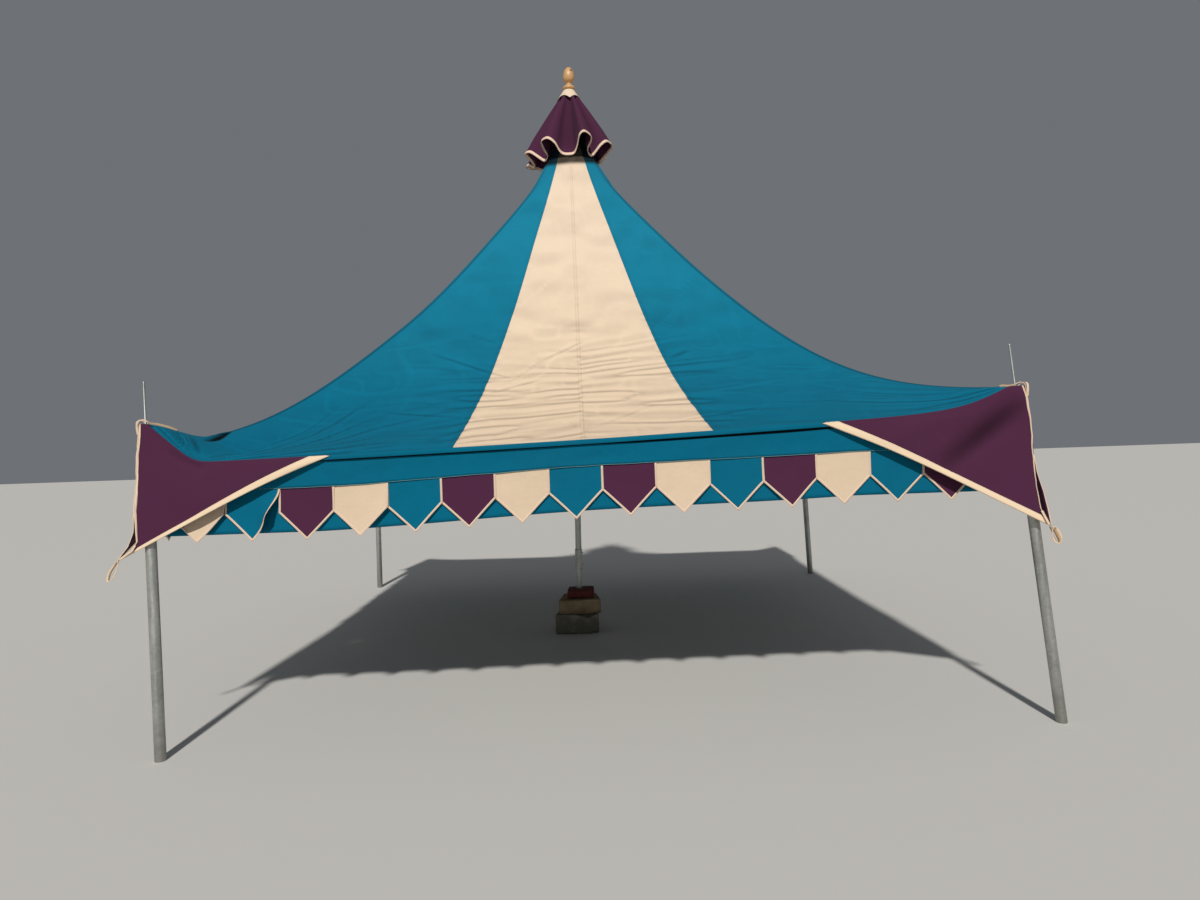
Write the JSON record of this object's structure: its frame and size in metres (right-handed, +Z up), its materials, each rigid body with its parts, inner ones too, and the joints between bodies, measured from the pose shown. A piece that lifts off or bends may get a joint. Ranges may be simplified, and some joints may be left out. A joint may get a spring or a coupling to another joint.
{
  "type": "medieval tent",
  "caption": "Square medieval pavilion tent with a concave striped roof, pointed dags, corner flaps and a fluted peak cap, on pipe legs and a centre pole.",
  "frame": {"origin": "on the ground below the middle of the square roof, on the underside of the lower base block", "axes": "+Z up, the front side faces -Y, +X is to the right of someone who faces the front"},
  "size_m": [3.8732, 3.8682, 3.563],
  "materials": {
    "teal_canvas": "woven cotton canvas",
    "purple_canvas": "woven cotton canvas",
    "cream_canvas": "woven cotton canvas",
    "cream_tape": "woven tape with stitched edges",
    "galvanised_steel": "dull zinc coating",
    "turned_wood": "varnished",
    "wall_block": "split concrete face",
    "red_paver": "rough"
  },
  "bodies": {
    "root": {"roof_front_gore": "cream_canvas", "roof_front_panel_left": "teal_canvas", "roof_front_panel_right": "teal_canvas", "valance_front": "teal_canvas", "flap_front_left_front": "purple_canvas", "flap_front_right_front": "purple_canvas", "roof_right_gore": "cream_canvas", "roof_right_panel_left": "teal_canvas", "roof_right_panel_right": "teal_canvas", "valance_right": "teal_canvas", "flap_front_right_right": "purple_canvas", "flap_back_right_right": "purple_canvas", "roof_back_gore": "cream_canvas", "roof_back_panel_left": "teal_canvas", "roof_back_panel_right": "teal_canvas", "valance_back": "teal_canvas", "flap_back_right_back": "purple_canvas", "flap_back_left_back": "purple_canvas", "roof_left_gore": "cream_canvas", "roof_left_panel_left": "teal_canvas", "roof_left_panel_right": "teal_canvas", "valance_left": "teal_canvas", "flap_back_left_left": "purple_canvas", "flap_front_left_left": "purple_canvas", "leg_front_left": "galvanised_steel", "pin_front_left": "galvanised_steel", "tip_loop_front_left": "cream_tape", "leg_front_right": "galvanised_steel", "pin_front_right": "galvanised_steel", "tip_loop_front_right": "cream_tape", "leg_back_right": "galvanised_steel", "pin_back_right": "galvanised_steel", "tip_loop_back_right": "cream_tape", "leg_back_left": "galvanised_steel", "pin_back_left": "galvanised_steel", "tip_loop_back_left": "cream_tape", "peak_patch": "cream_canvas", "centre_pole_upper": "galvanised_steel", "centre_pole_lower": "galvanised_steel", "centre_pole_sleeve": "galvanised_steel", "centre_pole_screw_1": "galvanised_steel", "centre_pole_screw_2": "galvanised_steel", "peak_spindle": "galvanised_steel", "peak_cap": "purple_canvas", "cap_collar": "cream_canvas", "finial": "turned_wood", "base_block_lower": "wall_block", "base_block_upper": "wall_block", "base_paver": "red_paver"}
  },
  "joints": []
}
